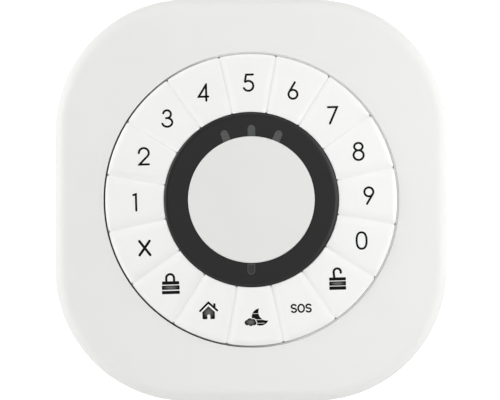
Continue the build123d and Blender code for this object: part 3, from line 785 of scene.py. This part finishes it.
DIGITS = {
    "0": [(superellipse(1.38, 2.27, 2.4), True)],
    "1": [([(-0.42, 2.05), (0.30, 2.27), (0.30, -2.27)], False)],
    "2": [(arc(0, 0.93, 1.38, 1.34, 180, -44) + [(-1.3, -2.27), (1.35, -2.27)], False)],
    "3": [(arc(0, 1.2, 1.08, 1.08, 165, -90) + [(-0.3, 0.12)], False),
          (arc(0, -1.08, 1.4, 1.2, 90, -165), False)],
    "4": [([(1.4, -1.15), (-1.25, -1.15), (0.85, 2.15), (0.85, -1.15)], False),
          ([(0.85, -1.0), (0.85, -2.27)], False)],
    "5": [([(1.3, 2.25), (-0.6, 2.25), (-0.95, 0.42)] + arc(-0.05, -0.87, 1.38, 1.38, 125, -155),
           False)],
    "6": [(ellipse(0, -1.05, 1.24, 1.24), True), ([(-1.05, -0.39), (0.61, 2.27)], False)],
    "7": [([(-1.35, 2.25), (1.2, 2.25), (-0.9, -2.3)], False)],
    "8": [(ellipse(0, 1.33, 1.17, 1.03), True), (ellipse(0, -1.04, 1.4, 1.34), True)],
    "9": [(ellipse(0, 1.05, 1.24, 1.24), True), ([(1.05, 0.39), (-0.61, -2.27)], False)],
    "x": [([(-1.45, 1.95), (1.5, -1.95)], False), ([(1.4, 1.95), (-1.45, -1.95)], False)],
}
# How far a legend lies from its key's middle, (right, up).
LEGEND_NUDGE = {
    "5": (0.05, -0.11), "6": (-0.13, -0.13), "7": (0.25, -0.2), "8": (0, 0.12), "9": (0.08, 0.22),
    "0": (0.17, 0.29), "disarm": (0.22, 0.42), "sos": (0.54, -0.4), "night": (0.35, 0),
    "home": (-0.23, -0.44), "arm": (0.01, 0.35), "x": (0.16, -0.19), "1": (0.28, 0.08),
    "2": (0.59, 0.35), "3": (0.26, 0.08), "4": (-0.14, -0.05),
}


class Printer:
    """Prints flat shapes on one key, upright but for the turn of the whole pattern."""

    def __init__(self, key):
        self.key = key
        angle = radians(90 + KEY_TURN - KEY_NAMES.index(key) * KEY_PITCH)
        right, up = LEGEND_NUDGE[key]
        self.centre = (KEY_CIRCLE * cos(angle) + right, KEY_CIRCLE * sin(angle) + up)
        self.low, self.high = KEY_TOP - INK_ROOT, KEY_TOP + INK_HEIGHT

    def place(self, x, z):
        c, s = cos(radians(KEY_TURN)), sin(radians(KEY_TURN))
        return self.centre[0] + x * c - z * s, self.centre[1] + x * s + z * c

    def stroke(self, points, width=STROKE, closed=False):
        return stroke_solid("stroke", points, width, closed, self.low, self.high, self.place)

    def shape(self, outline, cutter=False):
        """A filled outline. A cutter reaches past the ink on both sides."""
        extra = INK_ROOT if cutter else 0.0
        return prism("shape", outline, self.low - extra, self.high + extra, self.place)

    def finish(self, solids, look=ink, part=""):
        piece = joined("legend_" + self.key + part, solids)
        return finish_piece(piece, look, "key_" + self.key, "key_plastic")


def print_digit(key):
    printer = Printer(key)
    width = BOLD_STROKE if key == "x" else STROKE
    printer.finish([printer.stroke(points, width, closed) for points, closed in DIGITS[key]])


def print_sos():
    """Three letters, each S two arcs that meet in its middle."""
    printer = Printer("sos")
    solids = []
    for middle in (-2.04, 2.04):
        upper = arc(middle, 0.52, 0.66, 0.52, 30, 270)
        lower = arc(middle, -0.52, 0.66, 0.52, 90, -150)
        solids.append(printer.stroke(upper + lower[1:], THIN_STROKE))
    solids.append(printer.stroke(ellipse(0, 0, 0.84, 1.04), THIN_STROKE, True))
    printer.finish(solids)


def print_padlock(key, bars, shackle):
    """A padlock whose body is three bars, the middle one printed thinner."""
    printer = Printer(key)
    top, middle, foot = [rounded_box(*bar, 0.16) for bar in bars]
    printer.finish([printer.stroke(shackle, SHACKLE_STROKE), printer.shape(top),
                    printer.shape(foot)])
    printer.finish([printer.shape(middle)], shaded_ink, "_middle")


def print_home():
    """A house with a chimney under a separate roof line."""
    printer = Printer("home")
    roof = [(-2.35, 0.0), (0.0, 2.3), (2.4, 0.05)]
    chimney = rounded_box(1.38, 1.98, 0.9, 2.05, 0.15)
    printer.finish([printer.stroke(roof, ROOF_STROKE), printer.shape(chimney)])
    wall_x, foot, shoulder, gable, corner = 1.72, -2.3, -0.3, 1.3, 0.25
    walls = (arc(-wall_x + corner, foot + corner, corner, corner, 180, 270, 30)
             + arc(wall_x - corner, foot + corner, corner, corner, 270, 360, 30)
             + [(wall_x, shoulder), (0.0, gable), (-wall_x, shoulder)])
    door = [(-0.38, -2.6)] + arc(0.04, -1.3, 0.42, 0.3, 180, 0, 22.5) + [(0.46, -2.6)]
    house = carve(printer.shape(walls), [printer.shape(door, True)], "DIFFERENCE")
    printer.finish([house], shaded_ink, "_walls")


def print_night():
    """A moon with a cloud in front of its lower left, and two bright lines across it."""
    printer = Printer("night")
    lobes = [(-2.4, -1.5, 0.75), (-1.7, -1.15, 0.85), (-0.8, -1.25, 0.75), (-0.5, -1.65, 0.65),
             (-1.4, -1.85, 0.65)]
    clear = 0.2
    cuts = [printer.shape(ellipse(3.1, 1.3, 2.37, 2.37), True)]
    cuts += [printer.shape(ellipse(x, z, r + clear, r + clear), True) for x, z, r in lobes]
    cuts.append(printer.shape(rounded_box(-2.0, 2.5, 0.88, 1.0, 0.05), True))
    cuts.append(printer.shape([(-0.4, -0.82), (2.6, -0.88), (2.6, -0.74), (-0.4, -0.68)], True))
    cuts.append(printer.shape([(0.0, -1.86), (2.4, -1.8), (2.4, -1.68), (0.0, -1.74)], True))
    moon = carve(printer.shape(ellipse(1.25, -0.03, 2.4, 2.4)), cuts, "DIFFERENCE")
    printer.finish([moon])
    cloud = [printer.shape(ellipse(x, z, r, r)) for x, z, r in lobes]
    printer.finish(cloud, shaded_ink, "_cloud")


for key_name in DIGITS:
    print_digit(key_name)
print_sos()
print_padlock("arm", [(-2.38, 2.37, -0.29, 0.63), (-2.45, 2.45, -1.71, -0.53),
                      (-2.47, 2.48, -2.92, -2.02)],
              [(-1.18, 0.4)] + arc(-0.1, 1.52, 1.08, 1.08, 180, 0) + [(0.98, 0.4)])
print_padlock("disarm", [(-2.3, 2.35, -0.47, 0.4), (-2.3, 2.35, -1.88, -0.69),
                         (-2.3, 2.35, -3.04, -2.07)],
              [(-0.85, 0.2)] + arc(0, 1.88, 1.0, 1.0, 180, -12))
print_home()
print_night()

# ================================================================ painted highlight round the lower window

def window_edge():
    """A fine grey line round the lower status window, a painted highlight where the window's rounded
    edge catches the light.
    """
    half, head, foot, line = 0.97, -17.98, -20.7, 0.13
    outline = (arc(0, foot + half, half, half, 180, 360, 15)
               + arc(half - 0.2, head - 0.2, 0.2, 0.2, 0, 90, 30)
               + arc(0.2 - half, head - 0.2, 0.2, 0.2, 90, 180, 30))
    piece = stroke_solid("window_edge", outline, line, True, RING_TOP - 0.1, RING_TOP + 0.004)
    # The strip's grey is a painted highlight, not the colour of the acrylic.
    look = moulded("window_edge_painted_highlight", linear(100, (0, 1, 1)), linear(70, (0, 1, 1)), 0.3, 0.4,
                   0.002)
    finish_piece(piece, look, "keypad_unit", "light_pipe")


window_edge()

# ================================================================ silicone domes under the keys

DOME_RADIUS, DOME_TOP_RADIUS, DOME_TOP, DOME_CEILING, DOME_SKIN = 4.0, 2.6, 24.0, 22.9, 0.4
MAT_TOP = BOARD_FRONT + 0.8
MAT_INNER_RADIUS = 25.0
MAT_OUTER_RADIUS = 40.9
PILL_RADIUS, PILL_THICKNESS = 1.6, 0.4


def dome_profile():
    """Half of a hollow dome, with rounded shoulders."""
    shoulder = 0.35
    outside = [(DOME_TOP_RADIUS - shoulder + shoulder * sin(k * pi / 8),
                DOME_TOP - shoulder + shoulder * cos(k * pi / 8)) for k in range(4)]
    return ([(AXIS_GAP, DOME_TOP)] + outside + [(DOME_RADIUS, MAT_TOP), (DOME_RADIUS, BOARD_FRONT),
            (DOME_RADIUS - DOME_SKIN, BOARD_FRONT), (DOME_TOP_RADIUS - DOME_SKIN, DOME_CEILING),
            (AXIS_GAP, DOME_CEILING)])


def dome_set():
    """The mat as a flat sheet, with a dome and a contact pill under every key."""
    sheet = lathe("dome_sheet", [(MAT_INNER_RADIUS, BOARD_FRONT), (MAT_OUTER_RADIUS, BOARD_FRONT),
                                 (MAT_OUTER_RADIUS, MAT_TOP), (MAT_INNER_RADIUS, MAT_TOP)], count=128)
    holes = []
    for index, key in enumerate(KEY_NAMES):
        angle = radians(90 + KEY_TURN - index * KEY_PITCH)
        x, z = KEY_CIRCLE * cos(angle), KEY_CIRCLE * sin(angle)
        holes.append(prism("hole", ellipse(x, z, DOME_RADIUS, DOME_RADIUS),
                           BOARD_FRONT - 1, MAT_TOP + 1))
        dome = smooth(lathe("dome_" + key, dome_profile(), (x, z), 40))
        pill_foot = DOME_CEILING - PILL_THICKNESS
        pill = lathe("pill_" + key, [(AXIS_GAP, DOME_CEILING), (PILL_RADIUS, DOME_CEILING),
                                     (PILL_RADIUS, pill_foot), (AXIS_GAP, pill_foot)], (x, z), 32)
        smooth(pill)
        for piece, look, slot, node in ((dome, mat_silicone, "grey_silicone", "dome_mat"),
                                        (pill, carbon, "carbon_pill", "contact_pills")):
            finish_piece(piece, look, "keypad_unit", slot)
            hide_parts(node)
            front(x, z, BOARD_FRONT)
            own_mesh(piece)
    carve(sheet, holes, "DIFFERENCE")
    finish_piece(sheet, mat_silicone, "keypad_unit", "grey_silicone")
    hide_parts("dome_mat")


dome_set()

# ================================================================ marks and label on the back

REAR_PANEL = -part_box("rear_housing")[1].y / MM + 1.0
PLATE_FLOOR = 2.2
CELL_PITCH = 15.0


def polarity_marks():
    """Raised plus and minus signs at the ends of the four cells."""
    arm, line, row = 1.3, 0.45, 32.6
    low, high = REAR_PANEL - 0.15, REAR_PANEL + 0.1
    for index in range(4):
        x = CELL_PITCH * (index - 1.5)
        plus_z = row if index % 2 == 0 else -row

        def flat(z):
            return stroke_solid("bar", [(x - arm, z), (x + arm, z)], line, False, low, high)

        upright = stroke_solid("bar", [(x, plus_z - arm), (x, plus_z + arm)], line, False, low, high)
        plus = joined("plus_mark_" + str(index + 1), [flat(plus_z), upright])
        finish_piece(plus, rear, "keypad_unit", "rear_plastic")
        minus = joined("minus_mark_" + str(index + 1), [flat(-plus_z)])
        finish_piece(minus, rear, "keypad_unit", "rear_plastic")


def blank_label():
    """A plain paper label without print, on the back below the cells."""
    look = moulded("label_paper", linear(236, (0, 0, -4)), linear(230, (0, 0, -6)), 0.6, 0.35, 0.006)
    piece = prism("blank_label", rounded_box(-12.5, 12.5, -46.5, -37.5, 0.8),
                  REAR_PANEL - 0.08, REAR_PANEL + 0.02)
    finish_piece(piece, look, "keypad_unit", "rear_plastic")


def plate_marks():
    """A raised arrow that shows which way up the wall plate goes, and ejector-pin marks."""
    low, high = PLATE_FLOOR - 0.1, PLATE_FLOOR + 0.25
    arrow = [(-0.8, 38.0), (0.8, 38.0), (0.8, 41.5), (2.6, 41.5), (0.0, 45.0), (-2.6, 41.5),
             (-0.8, 41.5)]
    finish_piece(prism("up_arrow", arrow, low, high), housing, "wall_plate", "housing_plastic")
    for index, (x, z) in enumerate([(-24, 20), (24, 20), (-24, -20), (24, -20), (0, 0)]):
        ring = [(1.7, low), (2.0, low), (2.0, PLATE_FLOOR + 0.04), (1.7, PLATE_FLOOR + 0.04)]
        mark = smooth(lathe("ejector_mark_" + str(index + 1), ring, (x, z), 40))
        finish_piece(mark, housing, "wall_plate", "housing_plastic")


polarity_marks()
blank_label()
plate_marks()

# ================================================================ studio

AMBIENT = 0.3
WALL_LIGHT = 1.1             # added behind the panel


def aim(thing, target):
    thing.rotation_mode = "QUATERNION"
    thing.rotation_quaternion = (Vector(target) - thing.location).to_track_quat("-Z", "Y")


def camera():
    """A long lens, a degree to the left of square and a degree below it."""
    data = bpy.data.cameras.new("camera")
    data.lens = 305.8
    data.clip_start, data.clip_end = 0.05, 12.0
    eye = bpy.data.objects.new("camera", data)
    bpy.context.scene.collection.objects.link(eye)
    target = Vector((0.000037, -0.0073, 0.000331))
    azimuth, elevation, distance = radians(-1.17), radians(-1.24), 1.2
    eye.location = target + distance * Vector((sin(azimuth) * cos(elevation),
                                               -cos(azimuth) * cos(elevation), sin(elevation)))
    aim(eye, target)
    bpy.context.scene.camera = eye


def soft_light(name, place, width, height, power, target=(0, -0.02, 0)):
    data = bpy.data.lights.new(name, "AREA")
    data.shape = "RECTANGLE"
    data.size, data.size_y = width, height
    data.energy = power
    light = bpy.data.objects.new(name, data)
    light.location = place
    bpy.context.scene.collection.objects.link(light)
    aim(light, target)


def sky():
    """Dim even surroundings, but a bright white wall behind the panel."""
    world = bpy.data.worlds.new("studio")
    bpy.context.scene.world = world
    world.use_nodes = True
    tree = world.node_tree
    split = tree.nodes.new("ShaderNodeSeparateXYZ")
    tree.links.new(tree.nodes.new("ShaderNodeTexCoord").outputs["Generated"], split.inputs[0])
    spread = tree.nodes.new("ShaderNodeMapRange")
    spread.interpolation_type = "SMOOTHSTEP"
    for socket, number in zip(spread.inputs[1:5], (0.25, 0.7, AMBIENT, AMBIENT + WALL_LIGHT)):
        socket.default_value = number
    tree.links.new(split.outputs["Y"], spread.inputs[0])
    background = tree.nodes["Background"]
    background.inputs["Color"].default_value = (1, 1, 1, 1)
    tree.links.new(spread.outputs[0], background.inputs["Strength"])


def floor():
    """A pale floor well below the panel."""
    size, drop = 7.0, 0.35
    mesh = bpy.data.meshes.new("floor")
    mesh.from_pydata([(-size, -size, -drop), (size, -size, -drop), (size, size, -drop),
                      (-size, size, -drop)], [], [(0, 1, 2, 3)])
    ground = bpy.data.objects.new("floor", mesh)
    bpy.context.scene.collection.objects.link(ground)
    look = Look("floor_paper", 0.8)
    look.colour(look.blend(look.noise(60.0, 2.0), linear(236), linear(240)))
    mesh.materials.append(look.material)


camera()
sky()
floor()
soft_light("left_strip", (-0.7, -0.2, 0.2), 0.25, 0.9, 3.7)
soft_light("right_strip", (0.7, -0.2, 0.4), 0.25, 0.9, 1.35)
soft_light("right_graze", (0.8, -0.06, 0.12), 0.1, 0.8, 0.8)
soft_light("right_fill", (0.3, -0.3, 0.05), 0.3, 0.4, 0.7, (0.1, 0, 0))
soft_light("top_box", (0.0, -0.5, 0.9), 0.9, 0.3, 1.55)
soft_light("front_box", (-0.1, -1.6, 0.3), 1.0, 1.0, 1.65)
bpy.context.scene.view_settings.view_transform = "Standard"
